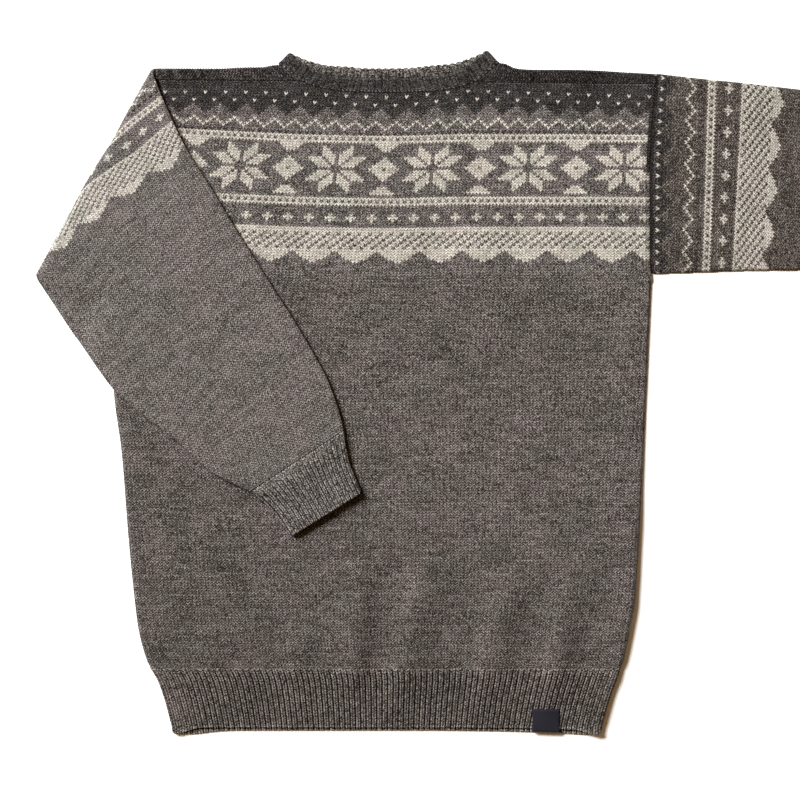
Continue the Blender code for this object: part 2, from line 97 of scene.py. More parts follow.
# Body: height, left edge, right edge
BODY_SIDES = (
    (-268.3, -242.8, 237.7), (-260, -246.8, 241.2), (-229.5, -255, 247.4),
    (-198.9, -259.1, 252.9), (-137.7, -265.2, 256.8), (-45.9, -272.6, 261.4), (0, -279, 263.4),
    (30, -281.6, 264.8), (66.3, -282, 266.4), (127.5, -273.4, 269.3),
)
ARMHOLES = ((127.5, -273.4, 269.3), (150, -269, 267), (230, -253.4, 267), (342.7, -231.5, 273.6))
UNDERARM = 127.5
HEM_TOP = -268.3
SHOULDER_SEAM = 330.0
SHOULDER_SLOPE = -0.008
BACK_SEAM = 336.5
BODY_WALES = 148
BODY_ROWS = 216
YOKE_ROWS = 72
LICE_ROW, STRIPE_ROW = 5, 21
# Place across, then the heights there of LICE_ROW and STRIPE_ROW
ROW_GUIDES = (
    (-232.6, 318.2, 281.5), (-161.2, 318.2, 277.4), (-69.4, 315.2, 273.4), (1, 312.1, 272.3),
    (83.6, 319.3, 273.9), (175.4, 316.2, 273.9), (265.2, 313.1, 273.4),
)
# Gathers above the hem: foot, head, half width to the left, to the right, height
RIDGES = (
    (-34, -262, -28, -130, 20, 16, 6.4), (18, -262, 46, -125, 13, 25, 6.6),
    (107, -262, 129, -150, 18, 20, 6.4), (172, -262, 190, -160, 16, 19, 6.2),
    (243, -300, 251, -140, 14, 16, 2), (-90, -262, -76, -210, 14, 9, 1.6),
    (-176, -258, -186, -205, 14, 9, 1.4),
)
RIDGE_RUN, RIDGE_FADE = 75, 0.7

# First guesses: the body's left edge and width
ROUGH_LEFT, ROUGH_WIDTH = -250, 510
# The sides stop wrapping round from this height over the underarm, in this run
UNWRAP = (-6, 9)
# The front dips at an armhole seam and swells beside it: distance, half width, height
ARMHOLE_SWELLS = ((0.0, 2.4, -1.4), (7.0, 3.5, 0.5))
ARMHOLE_BAND_ROWS = 34
BACK_INSET = 0.4
BACK_LEVEL = 0.45
BACK_RELIEF = 0.6

# The right side rolls up a little: height, how much thicker the cloth lies there
SIDE_ROLL = (
    (-345, 0.5), (-311, 0.5), (-285, 0.3), (-262, 0.38), (-199, 0.58), (-132, 0.72), (-66, 0.2),
    (0, 0), (60, 0),
)
SIDE_ROLL_WIDTH = 24

# The folded sleeve's right edge over the body: height, place across
COVER_EDGE = (
    (-88.7, -26.5), (-51, -38.8), (-26.5, -43.9), (35.7, -64.3), (81.6, -89.8), (139.7, -128.5),
    (193.8, -163.2), (256, -201.5), (307, -226.4), (342.7, -240.7),
)
COVER_CORNERS = ((-358, 135.7), (-98.9, -133.6))
COVER_FOOT = -95.0
COVER_START, COVER_RUN = 0.15, 16

# Soft waves of loose cloth: wave length, direction in degrees, phase, height
WAVES = (
    (118, 12, 0.6, 0.34), (83, 68, 2.1, 0.26), (61, 141, 4.4, 0.22), (44, 97, 1.2, 0.12),
    (37, 35, 5.2, 0.1),
)
WAVE_LEVEL = 0.35
# Where they rise, from the edges and the hem and down from the neck: start, run
WAVE_SIDES, WAVE_HEM, WAVE_NECK = (4, 20), (HEM_TOP, 25), (-300, 40)

# Hem rib: height, left edge, right edge
HEM_SIDES = (
    (-328.4, -221.3, 217.4), (-300, -229.1, 225.6), (-280.5, -236.2, 232.8),
    (-268.4, -243.6, 237.7),
)
# Place across, height of the front's lower edge, of the back's
HEM_EDGE = (
    (-222, -331.4, -335.3), (-208, -330.8, -336.2), (-195, -329.8, -335.5),
    (-184, -329.2, -334.1), (-172, -329.1, -332.9), (-155, -329.1, -332.1), (30, -329.1, -332),
    (115, -329.4, -332.9), (180, -331, -335.3), (217, -333.5, -337),
)
HEM_RIBS = 82
HEM_ROUGH_LENGTH = 60
HEM_HEIGHT = FRONT_TOP
HEM_CORNER = 4.5
# The front's edge leaves the back's so far off the fold, over so much width
HEM_PART = (2, 26)

# Ribs: points across one, depth, level, half rows to rise in, drop at their start
RIB_POINTS = 4
RIB_DEPTH = 1.5
RIB_LEVEL = 0.55
RIB_START = 6
RIB_START_DROP = 0.5
# How far each second half row stands out
RIB_ROW_RISE = 0.35
# The first row is tucked in behind the next piece
TUCK = 0.9
TUCK_DROP = 1.6
# The rolled edge: degrees, relief at its start, half its loss
EDGE_ANGLES = (30, 60, 90, 120, 150, 180)
EDGE_RELIEF, EDGE_RELIEF_LOSS = 0.85, 0.175
# Crest values, which set the painted shade: at a fold, added to valleys near it, then all half rows
# and each second one
FOLD_CREST = 0.6
CALM_CREST = 0.45
RIB_ROW_CRESTS = (0.66, 0.34)
PLAIN_ROW_CRESTS = (0.45, 0.5)
PLAIN_GROOVE_CREST = 0.75
# The purl ridge at the neckband's foot
PURL_LEVELS = ((-0.8,), (-0.4,), (0.0,))
PURL_RISE = 0.6
# Crest values of the purl ridge: a painted highlight on its beads, and painted shade in the gaps
# between them and on the rows beside them
PURL_CREST, PURL_GAP_CREST, PURL_SIDE_CREST = 3.0, 0.1, 0.35

# Neck, about the line X = NECK_MIDDLE: share of the way to the corner, height
NECK_MIDDLE = 1.0
NECK_HALF_SEAM = 112.4
# Left, right
NECK_HALF_TOPS = (101.5, 100.0)
NECK_TILT = 0.012
FRONT_NECK_SEAM = (
    (0, 318.8), (0.39, 319.8), (0.581, 322.8), (0.754, 328.4), (0.881, 337.6), (1, 348.6),
)
FRONT_NECK_TOP = (
    (0, 333), (0.396, 334.1), (0.6, 336.9), (0.746, 342.2), (0.868, 350.4), (1, 361.2),
)
BACK_NECK_SEAM = (
    (0, 330), (0.39, 330.9), (0.581, 333), (0.754, 337), (0.881, 341.5), (1, 348.6),
)
BACK_NECK_TOP = (
    (0, 344), (0.2, 344.3), (0.408, 346.3), (0.607, 347.8), (0.82, 353.3), (1, 361.2),
)
NECK_RIBS = 30
NECK_BEND = 1.65

# Shoulders' upper folds: place across, height
SHOULDER_LEFT = (
    (-232, 343.5), (-175, 343.6), (-152, 344.8), (-130.6, 345.2), (-120.4, 346.6), (-109, 347.6),
)
SHOULDER_RIGHT = (
    (110, 349.2), (116, 348.5), (122, 347), (129.5, 344.4), (140, 342.7), (155, 342.1),
    (190, 342), (274, 337.7),
)
STRAP_WALES = 8
STRAP_RELIEF, STRAP_GAP = 1.3, 0.1
STRAP_EDGE_DROP, STRAP_EDGE_WIDTH = 0.45, 0.45

# Sleeves, unfolded and flat: upper edge and lower edge, from armhole to cuff
RIGHT_UPPER = (
    (273.6, 338.6), (318.2, 333.5), (369.2, 328.4), (420.2, 322.3), (481.4, 316.2),
    (552.8, 312.1), (624.2, 309.1), (670.1, 302.9), (697.7, 292.7),
)
RIGHT_LOWER = (
    (269.3, 133.6), (318.2, 135.3), (369.2, 137), (420.2, 137.5), (481.4, 138.3), (542.6, 141),
    (603.8, 152), (649.7, 162.2), (695.6, 180.5),
)
RIGHT_CUFF_END = ((764.0, 273.4), (761.9, 187.7))
LEFT_UPPER = (
    (-231.5, 342.7), (-243.4, 345.2), (-284.9, 339.6), (-342, 334.5), (-414.4, 335.5),
    (-478.7, 337.6), (-548, 339.6), (-601.1, 337.6), (-640.9, 330.4), (-664.3, 323.3),
)
LEFT_LOWER = (
    (-273.4, 127.5), (-319.3, 130.2), (-360.7, 134.2), (-431.8, 137.3), (-497, 142.2),
    (-554.2, 159.1), (-584.8, 171.3), (-628.6, 184.6), (-668.4, 209),
)
LEFT_CUFF_END = ((-727.7, 305.9), (-728.8, 221.3))
SLEEVE_HEIGHT = 5.25
SLEEVE_WALES = 56
# Row, distance from the armhole along the upper edge, along the lower edge
RIGHT_ROWS = ((0, 0, 0), (20, 56, 54), (31, 88, 82), (45, 124, 114), (155, 432.6, 429.6))
LEFT_ROWS = ((0, 0, 0), (20, 46.5, 28.6), (31, 72, 57.1), (45, 102, 82.1), (161, 434.8, 408.2))
# A sleeve dips into its armhole seam, within so many rows
SLEEVE_DIP, SLEEVE_DIP_ROWS = 1.5, 1.8
# The straight sleeve's lower fold is pressed, and its first rows follow the armhole
PRESS, PRESS_WIDTH = 0.55, 16
STRAIGHT_ROWS = 8
CUFF_RIBS = 20
CUFF_FLARE = 0.4
CUFF_TAPER = ((0, 0), (0.3, 0.5), (0.6, 0.82), (1, 1))
CUFF_LENGTH = 65.0
CUFF_CORNER = 3.0
CUFF_FLARE_RUN = (0.4, 0.6)

# The left sleeve's fold
CREASE_TOP = (-240.7, 343.7)
CREASE_FOOT = (-358.0, 135.7)
FOLD_RADIUS = 5.4
# Where the crease bends outward: distance down it, half width, how far
CREASE_BULGES = ((145, 40, 1.7), (80, 16, -0.8))
SAG_RUN = (3.0, 30.0)

LABEL_LEFT, LABEL_RIGHT, LABEL_TOP = 147.2, 174.7, -310.1
LABEL_THICK, LABEL_LIFT, LABEL_PUFF = 0.6, 0.9, 0.25
LABEL_FOOT, LABEL_LAP = 3.2, 3.2
LABEL_BEND, LABEL_BEND_OUT, LABEL_END_BACK = 1.2, 0.3, 0.2
LABEL_COLUMNS, LABEL_ROWS = 24, 10

# Wool: strands of noise to a stitch and to a row, then noise to the metre
STRANDS = (2.0, 9.0)
FLECK_SCALE, FIBRE_SCALE, TONE_SCALE = 1050.0, 420.0, 22.0
# How far they darken and lighten the wool as the noise crosses this range
NOISE_RANGE = (0.3, 0.7)
FLECK_SWING = (-1.8, 2.1)
STRAND_SWING = (-0.45, 0.5)
LEG_SWING = (-0.7, 0.75)
TONE_SWING = (-0.25, 0.25)
LEAST_LIGHT = 0.1
# For charcoal and white yarn: the swing, and how dark the painted shade in their valleys is
CHARCOAL_SWING, WHITE_SWING = 1.3, 0.28
CHARCOAL_PAINTED_SHADE, WHITE_PAINTED_SHADE = 0.6, 0.34
# Painted light: the brightness on a crest, and the most that the painted highlight brightens the
# wool
PAINTED_CREST_LIGHT, PAINTED_GLINT_LIGHT = 1.25, 3.0
TONE_HUES = ((0.982, 1.006, 0.994), (1.018, 0.991, 1.0))
FIBRE_HUES = ((0.985, 1.0, 1.01), (1.02, 1.0, 0.98))
# Powers of the brightness in red, green and blue: darker wool is warmer, in its darker flecks and
# in its painted shade alike
DARK_IS_WARM = (0.93, 1.0, 1.05)

HEATHER = (0.129, 0.1164, 0.1098)
CHARCOAL_YARN = (0.0387, 0.0343, 0.0331)
WHITE_YARN = (0.465, 0.449, 0.405)
# The inside of the neckband's back turns lighter and browner toward its top
NECK_FACING = ((0.092, 0.081, 0.072), 0.04, 0.36)

# The wool of each piece, as wool() takes it: depth and shut set the painted shade in the valleys,
# and fade paints shade toward the hem on the front and toward the cuff on the left sleeve
CUFF_LOOK = {"depth": 0.0, "contrast": 1.2, "shut": 0.15}
STRAP_LOOK = {"depth": 0.0, "contrast": 0.95, "shut": 0.2, "legs": 1.8}
LOOKS = {
    "yoke": {"grey": HEATHER, "depth": 0.15, "contrast": 0.9},
    "front": {"grey": (0.1222, 0.1085, 0.1018), "contrast": 0.87, "painted_shade": (0.0, 0.55, 0.84)},
    "back": {"grey": HEATHER},
    "sleeve_right": {
        "grey": (0.083, 0.0709, 0.062), "white": (0.414, 0.398, 0.362), "depth": 0.14,
        "contrast": 1.15,
    },
    "sleeve_left": {
        "grey": (0.179, 0.165, 0.159), "white": (0.5, 0.485, 0.446), "depth": 0.08,
        "contrast": 0.61, "painted_shade": (0.2, 0.7, 0.91),
    },
    "hem": {"grey": (0.1085, 0.0945, 0.0865), "depth": 0.0, "contrast": 0.9, "shut": 0.33},
    "cuff_right": {"grey": (0.081, 0.0736, 0.0688), **CUFF_LOOK},
    "cuff_left": {"grey": (0.108, 0.0966, 0.09), **CUFF_LOOK},
    "neck": {
        "grey": (0.0292, 0.0255, 0.024), "depth": 0.06, "contrast": 1.4, "facing": NECK_FACING,
    },
    "strap_left": {"grey": (0.053, 0.0465, 0.0445), **STRAP_LOOK},
    "strap_right": {"grey": (0.0348, 0.0298, 0.0282), **STRAP_LOOK},
}

rng = np.random.default_rng(SEED)


def along(table, at, column=1):
    """A smooth curve through one column of a table that never overshoots its points."""
    keys = np.array([row[0] for row in table], float)
    values = np.array([row[column] for row in table], float)
    steps = np.diff(values) / np.diff(keys)
    product, total = steps[:-1] * steps[1:], steps[:-1] + steps[1:]
    inner = np.where(product > 0, 2 * product / np.where(total == 0, 1, total), 0)
    lean = np.concatenate([steps[:1], inner, steps[-1:]])
    at = np.clip(at, keys[0], keys[-1])
    i = np.clip(np.searchsorted(keys, at, side="right") - 1, 0, len(keys) - 2)
    span = keys[i + 1] - keys[i]
    t = (at - keys[i]) / span
    return (
        values[i] * (1 + 2 * t) * (1 - t) ** 2
        + values[i + 1] * t * t * (3 - 2 * t)
        + lean[i] * span * t * (1 - t) ** 2
        - lean[i + 1] * span * t * t * (1 - t)
    )


def smoothstep(t):
    t = np.clip(t, 0.0, 1.0)
    return t * t * (3 - 2 * t)


def ease(at, start, run):
    return smoothstep((at - start) / run)


def bell(distance, width):
    return np.exp(-((distance / width) ** 2))


def bells(at, table):
    """The sum of smooth swells, each with its place, half width and height."""
    return sum(height * bell(at - place, width) for place, width, height in table)


def edge_point(points, distance):
    """The point so far along a smooth line through points."""
    steps = [math.dist(a, b) for a, b in zip(points, points[1:])]
    keys = np.concatenate([[0], np.cumsum(steps)])
    xs = [(k, p[0]) for k, p in zip(keys, points)]
    ys = [(k, p[1]) for k, p in zip(keys, points)]
    return along(xs, distance), along(ys, distance)


def stacked(x, y, z):
    return np.stack([x, y, z], axis=-1)


def flat_tube(distance, width, height):
    """Across a layer of a flattened tube, from one fold: inset, level over its middle, normal."""
    radius = height / 2
    quarter = math.pi * radius / 2
    length = width - height + 2 * quarter
    near = np.clip(distance, 0, length)
    far = length - near
    turn = np.minimum(np.minimum(near, far), quarter) / radius
    first, last = near < quarter, far < quarter
    end, side, up = radius * (1 - np.cos(turn)), np.cos(turn), np.sin(turn)
    inset = np.where(first, end, np.where(last, width - end, radius + near - quarter))
    level = radius * up
    side = np.where(first, -side, np.where(last, side, 0.0))
    return inset, level, side, up


def layer_length(width, height):
    return width - height + math.pi * height / 2


def wool_grid(first_u, last_u, first_v, last_v, top, foot, per_row, groove):
    """Grid of a plain knitted skin: u, v slanted into legs, lift off the cloth, even v, crest."""
    u = np.arange(2 * (last_u - first_u) + 1) / 2 + first_u
    v = np.arange(per_row * (last_v - first_v) + 1) / per_row + first_v
    u, v = np.meshgrid(u, v)
    head = np.isclose(u % 1, 0)
    crest = ~np.isclose(v % 1, 0)
    lift = LEG_RISE * crest - groove * head - FOOT_DIP * ~head + SKIN_LEVEL
    slanted = v + LEAN * (0.5 - head)
    inside = (slanted > top) & (slanted < foot)
    depth = np.where(head, crest * HEAD_CREST, np.where(crest, LEG_CREST, FOOT_CREST))
    return u, np.clip(slanted, top, foot), np.where(inside, lift, SKIN_LEVEL), v, depth


def skin(name, points, cell, crest, uv, material, flip=False):
    """A grid of points as a welded piece. Each face takes a yarn and a shade from its cell."""
    rows, columns = points.shape[:2]
    index = np.arange(rows * columns).reshape(rows, columns)
    corners = [index[:-1, :-1], index[1:, :-1], index[1:, 1:], index[:-1, 1:]]
    quads = np.stack(corners[::-1] if flip else corners, axis=-1).reshape(-1, 4)
    points[..., 2] = np.maximum(points[..., 2], LEAST_HEIGHT)
    flat = points.reshape(-1, 3) * MM
    a, b, c, d = (flat[quads[:, k]] for k in range(4))
    area = np.linalg.norm(np.cross(c - a, d - b), axis=1) / 2
    keep = area > LEAST_FACE
    mesh = bpy.data.meshes.new(name)
    mesh.from_pydata(flat, [], quads[keep])
    for label, values in cell.items():
        layer = mesh.attributes.new(label, "FLOAT", "FACE")
        layer.data.foreach_set("value", values.reshape(-1)[keep].astype(np.float32))
    layer = mesh.attributes.new("crest", "FLOAT", "POINT")
    layer.data.foreach_set("value", crest.reshape(-1).astype(np.float32))
    corner_points = np.empty(len(mesh.loops), np.int32)
    mesh.loops.foreach_get("vertex_index", corner_points)
    bake = mesh.uv_layers.new(name="OFBake")
    bake.data.foreach_set("uv", uv.reshape(-1, 2)[corner_points].astype(np.float32).reshape(-1))
    weld(mesh)
    mesh.shade_smooth()
    mesh.materials.append(material)
    piece = bpy.data.objects.new(name, mesh)
    bpy.context.scene.collection.objects.link(piece)
    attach(piece, ROOT)
    return piece


def weld(mesh):
    shaped = bmesh.new()
    shaped.from_mesh(mesh)
    bmesh.ops.remove_doubles(shaped, verts=shaped.verts, dist=WELD)
    loose = [v for v in shaped.verts if not v.link_faces]
    bmesh.ops.delete(shaped, geom=loose, context="VERTS")
    shaped.to_mesh(mesh)
    shaped.free()


def spread_uv(u, v):
    """The grid's own coordinates, scaled to fill the unit square."""
    across = (u - u.min()) / (u.max() - u.min())
    down = (v - v.min()) / (v.max() - v.min())
    return np.stack([across, 1 - down], axis=-1)


def leg_shades(rows, legs, per_row):
    """A shade for each leg: part is its own and part drifts along the row, as in spun yarn."""
    own = rng.random((rows, legs))
    noise = rng.random((rows, legs + YARN_DRIFT - 1))
    sums = np.cumsum(np.pad(noise, ((0, 0), (1, 0))), axis=1)
    drift = (sums[:, YARN_DRIFT:] - sums[:, :-YARN_DRIFT]) / YARN_DRIFT
    swing = DRIFT_SHADE * math.sqrt(YARN_DRIFT) * (drift - 0.5)
    shades = 0.5 + OWN_SHADE * (own - 0.5) + swing
    return np.repeat(np.clip(shades, 0, 1), per_row, axis=0)


# Knitting charts, generic traditional motifs: # is off-white, o is charcoal, . is grey
SOLID = ("o",)
PLAIN = (".",)
LICE = ("oo#ooo", "oooooo", "oooooo", "ooooo#")
CLOSE_LICE = ("o#o",)
TEETH = ("oooooooo", "ooo.oooo", "oo...ooo", "o.....oo", ".......o")
ZIGZAG = ("#.....", ".#...#", "..#.#.", "...#..")
DASHES = ("o.",)
STRIPE = ("##", "#.", "##")
PLUS = ("..#...", ".###..", "..#...")
BORDER_TOP = ("#",)
BORDER = ("##.", "#.#", ".##")
STEPS = (
    "############",
    "##########..",
    ".########...",
    "..######....",
    "....##......",
)
# Stitches from star to star, rows from a star's middle to its band's edge
STAR_SPAN = 28
STAR_REACH = 9


def star_row(y, x):
    """Whether a stitch belongs to an eight-petal star about 0, 0."""
    a, b = max(abs(x), abs(y)), min(abs(x), abs(y))
    return 1 <= b <= 4 and b + 1 <= a <= b + 4


def star_band():
    """Stars with small diamonds between them, repeating every STAR_SPAN stitches."""
    half = STAR_SPAN // 2
    rows = []
    for y in range(-STAR_REACH, STAR_REACH + 1):
        row = ""
        for x in range(STAR_SPAN):
            across = (x + half) % STAR_SPAN - half
            between = abs(x - half)
            diamond = 1 <= between + abs(y) <= 4
            border = between + STAR_REACH - abs(y) <= 3 and between + abs(y) > 6
            row += "#" if star_row(y, across) or diamond or border else "."
        rows.append(row)
    return tuple(rows)


YOKE = (
    SOLID * 4 + LICE + TEETH + PLAIN + ZIGZAG + PLAIN + DASHES + STRIPE + star_band() + PLAIN
    + STRIPE + PLAIN * 3 + PLUS + PLAIN * 2 + BORDER_TOP * 2 + BORDER * 2 + STEPS
)
SLEEVE = (
    SOLID * 2 + CLOSE_LICE + TEETH[1:] + PLAIN * 4 + ZIGZAG + PLAIN + DASHES + PLAIN * 2 + STRIPE
    + PLAIN * 3 + PLUS + PLAIN * 3 + BORDER_TOP + BORDER * 4 + STEPS[1:]
)


def chart(bands, rows, first, columns, shift):
    """The yarn of each stitch: the bands' rows repeat across, and grey follows them."""
    values = {"#": WHITE, "o": CHARCOAL, ".": GREY}
    out = np.full((rows, columns), GREY)
    for r in range(first, min(first + rows, len(bands))):
        line = bands[r]
        out[r - first] = [values[line[(c + shift) % len(line)]] for c in range(columns)]
    return out


class Shader:
    """A material under construction."""

    def __init__(self, name):
        self.material = bpy.data.materials.new(name)
        self.material.use_nodes = True
        self.tree = self.material.node_tree
        self.surface = self.tree.nodes["Principled BSDF"]

    def node(self, kind, values=(), **settings):
        """A node with its settings, and with values for sockets by number or name."""
        made = self.tree.nodes.new(kind)
        for key, value in settings.items():
            setattr(made, key, value)
        for key, value in dict(values).items():
            self.feed(made.inputs[key], value)
        return made

    def feed(self, socket, value):
        if isinstance(value, bpy.types.NodeSocket):
            self.tree.links.new(value, socket)
        elif isinstance(value, tuple) and len(value) == 3 and socket.type == "RGBA":
            socket.default_value = (*value, 1.0)
        else:
            socket.default_value = value

    def math(self, operation, *values):
        return self.node("ShaderNodeMath", enumerate(values), operation=operation).outputs[0]

    def attribute(self, name):
        return self.node("ShaderNodeAttribute", attribute_name=name).outputs["Fac"]

    def mix(self, factor, a, b, blend="MIX"):
        values = {0: factor, 6: a, 7: b}
        return self.node("ShaderNodeMix", values, data_type="RGBA", blend_type=blend).outputs[2]

    def noise(self, vector, scale, detail=2.0, roughness=0.5):
        values = {"Vector": vector, "Scale": scale, "Detail": detail, "Roughness": roughness}
        return self.node("ShaderNodeTexNoise", values).outputs[0]

    def spread(self, *values):
        """A value taken from one range to another, which is 0 to 1 unless given."""
        return self.node("ShaderNodeMapRange", enumerate(values)).outputs[0]

    def by_yarn(self, *values):
        """A colour or a plain value for each yarn: grey, charcoal, white."""
        made = self.node("ShaderNodeValToRGB", {0: self.attribute("yarn")})
        made.color_ramp.interpolation = "CONSTANT"
        made.color_ramp.elements.new(0.5)
        for element, place, value in zip(made.color_ramp.elements, YARN_STOPS, values):
            element.position = place
            element.color = (*(value if isinstance(value, tuple) else (value,) * 3), 1.0)
        return made.outputs[0]

    def dress(self, colour, levels, height=None, strength=0.0, distance=0.0):
        """Gives the surface its colour, other levels by name, and a height's relief."""
        for name, value in (("Base Color", colour), *levels.items()):
            self.feed(self.surface.inputs[name], value)
        if height is not None:
            values = {"Strength": strength, "Distance": distance, "Height": height}
            relief = self.node("ShaderNodeBump", values).outputs[0]
            self.feed(self.surface.inputs["Normal"], relief)
        return self.material


def wool(
    name, grey, stitches, depth=0.08, contrast=1.0, shut=0.05, legs=1.0, facing=None, painted_shade=None,
    white=WHITE_YARN,
):
    """Spun wool: stitches says how many stitches and rows the UV map holds.
    Valleys get painted shade, as dark as depth, up to the crest value shut, and crest values above
    1 get a painted highlight. contrast is how far the grey yarn varies, and legs how far single
    legs differ.
    facing is a second grey that takes over on the left half of the UV map, between two heights.
    fade is two heights of the UV map and the share of light left at the first: painted shade that
    darkens the wool toward the first height."""
    s = Shader(name)
    uv = s.node("ShaderNodeUVMap", uv_map="OFBake").outputs[0]
    place = s.node("ShaderNodeTexCoord").outputs["Object"]
    crest = s.attribute("crest")
    scale = (stitches[0] * STRANDS[0], stitches[1] * STRANDS[1], 1.0)
    scaled = s.node("ShaderNodeVectorMath", {0: uv, 1: scale}, operation="MULTIPLY").outputs[0]
    strands = s.noise(scaled, 1.0, 2.0, 0.6)
    flecks = s.noise(place, FLECK_SCALE, 0.0)
    tone = s.noise(place, TONE_SCALE, 3.0, 0.6)
    base = s.by_yarn(grey, CHARCOAL_YARN, white)
    height = s.node("ShaderNodeSeparateXYZ", {0: uv})
    if facing:
        colour, first, last = facing
        back = s.math("LESS_THAN", height.outputs[0], 0.5)
        share = s.math("MULTIPLY", back, s.spread(height.outputs[1], first, last))
        base = s.mix(share, base, colour)
    swing = s.by_yarn(contrast, CHARCOAL_SWING, WHITE_SWING)
    speck = s.spread(flecks, *NOISE_RANGE, *FLECK_SWING)
    streak = s.spread(strands, *NOISE_RANGE, *(legs * far for far in STRAND_SWING))
    leg = s.spread(s.attribute("shade"), 0.0, 1.0, *(legs * far for far in LEG_SWING))
    cloud = s.spread(tone, *NOISE_RANGE, *TONE_SWING)
    mixed = s.math("ADD", s.math("ADD", speck, streak), s.math("ADD", leg, cloud))
    light = s.math("MAXIMUM", s.math("MULTIPLY_ADD", mixed, swing, 1.0), LEAST_LIGHT)
    # Painted shade in the valleys between legs and ribs, set by the crest attribute
    deepest_painted_shade = s.by_yarn(depth, depth * CHARCOAL_PAINTED_SHADE, WHITE_PAINTED_SHADE)
    valley = s.spread(crest, shut, LEG_CREST, deepest_painted_shade, PAINTED_CREST_LIGHT)
    hue = s.mix(s.spread(tone, 0.4, 0.6), *TONE_HUES)
    fibre = s.mix(s.spread(s.noise(place, FIBRE_SCALE, 1.0), 0.42, 0.6), *FIBRE_HUES)
    tinted = s.mix(1.0, base, s.mix(1.0, hue, fibre, "MULTIPLY"), "MULTIPLY")
    # A painted highlight where the crest attribute is above 1
    painted_glint = s.spread(crest, 1.0, 2.0, 1.0, PAINTED_GLINT_LIGHT)
    bright = s.math("MULTIPLY", s.math("MULTIPLY", light, valley), painted_glint)
    # Painted shade, darker toward one end of the piece
    if painted_shade:
        bright = s.math("MULTIPLY", bright, s.spread(height.outputs[1], *painted_shade, 1.0))
    # Darker wool turns warmer, its painted shade included
    factor = s.node("ShaderNodeCombineColor")
    for socket, power in zip(factor.inputs, DARK_IS_WARM):
        s.feed(socket, s.math("POWER", bright, power))
    levels = {
        "Roughness": 0.95, "Specular IOR Level": 0.06, "Sheen Weight": 0.04,
        "Sheen Roughness": 0.6,
    }
    shown = s.mix(1.0, tinted, factor.outputs[0], "MULTIPLY")
    relief = s.math("ADD", strands, flecks)
    return s.dress(shown, levels, relief, strength=0.7, distance=0.0005)


def wool_of(piece, stitches, rows):
    return wool(f"wool_{piece}", stitches=(stitches, rows), **LOOKS[piece])


def shoulder_seam(x):
    return SHOULDER_SEAM + SHOULDER_SLOPE * x


def neck_height(seam, x):
    return along(seam, np.abs(x - NECK_MIDDLE) / NECK_HALF_SEAM)


def neck_reach(seam, y):
    """How far from the middle the neck seam is at a height."""
    return along([(height, share) for share, height in seam], y) * NECK_HALF_SEAM


def body_edge(y, column):
    return np.where(y <= UNDERARM, along(BODY_SIDES, y, column), along(ARMHOLES, y, column))


def row_height(v, x):
    """Where a body row lies: it follows the rows seen on the yoke, then runs evenly to the hem."""
    top = shoulder_seam(x)
    lice, stripe = along(ROW_GUIDES, x, 1), along(ROW_GUIDES, x, 2)
    above = top + (lice - top) * v / LICE_ROW
    between = lice + (stripe - lice) * (v - LICE_ROW) / (STRIPE_ROW - LICE_ROW)
    upper = np.where(v < LICE_ROW, above, between)
    share = (v - STRIPE_ROW) / (BODY_ROWS - STRIPE_ROW)
    return np.where(v < STRIPE_ROW, upper, stripe + (HEM_TOP - JOIN_GAP - stripe) * share)


def ridges(x, y):
    """How high the gathers above the hem stand."""
    lift = np.zeros_like(x)
    for x0, y0, x1, y1, left_width, right_width, height in RIDGES:
        length = math.hypot(x1 - x0, y1 - y0)
        ux, uy = (x1 - x0) / length, (y1 - y0) / length
        run = (x - x0) * ux + (y - y0) * uy
        off = (x - x0) * uy - (y - y0) * ux
        rise = ease(run, -RIDGE_RUN, RIDGE_RUN) * smoothstep((length - run) / (RIDGE_FADE * length))
        width = np.where(off < 0, left_width, right_width)
        lift += height * rise * bell(off, width)
    return lift


def side_roll(x, y):
    """How many times as thick the cloth lies near the right side."""
    right = np.where(y > HEM_TOP, along(BODY_SIDES, y, 2), along(HEM_SIDES, y, 2))
    return 1 + along(SIDE_ROLL, y) * bell(np.maximum(0.0, right - x), SIDE_ROLL_WIDTH)


def bare(x, y):
    """1 where nothing lies on the body's front, 0 under the folded sleeve."""
    right = x - along(COVER_EDGE, y)
    (x0, y0), (x1, y1) = COVER_CORNERS
    length = math.hypot(x1 - x0, y1 - y0)
    below = ((x - x0) * (y1 - y0) - (y - y0) * (x1 - x0)) / length
    past = np.maximum(np.maximum(right, -below), COVER_FOOT - y)
    return smoothstep(past / COVER_RUN - COVER_START)


def waves(x, y):
    lift = np.zeros_like(x)
    for length, direction, phase, height in WAVES:
        a = math.radians(direction)
        lift += height * np.sin(2 * math.pi * (x * math.cos(a) + y * math.sin(a)) / length + phase)
    return lift


def calm(reach, y):
    """1 where the front can wave, and less toward its sides, the hem and the neck."""
    return ease(reach, *WAVE_SIDES) * ease(y, *WAVE_HEM) * ease(-y, *WAVE_NECK)


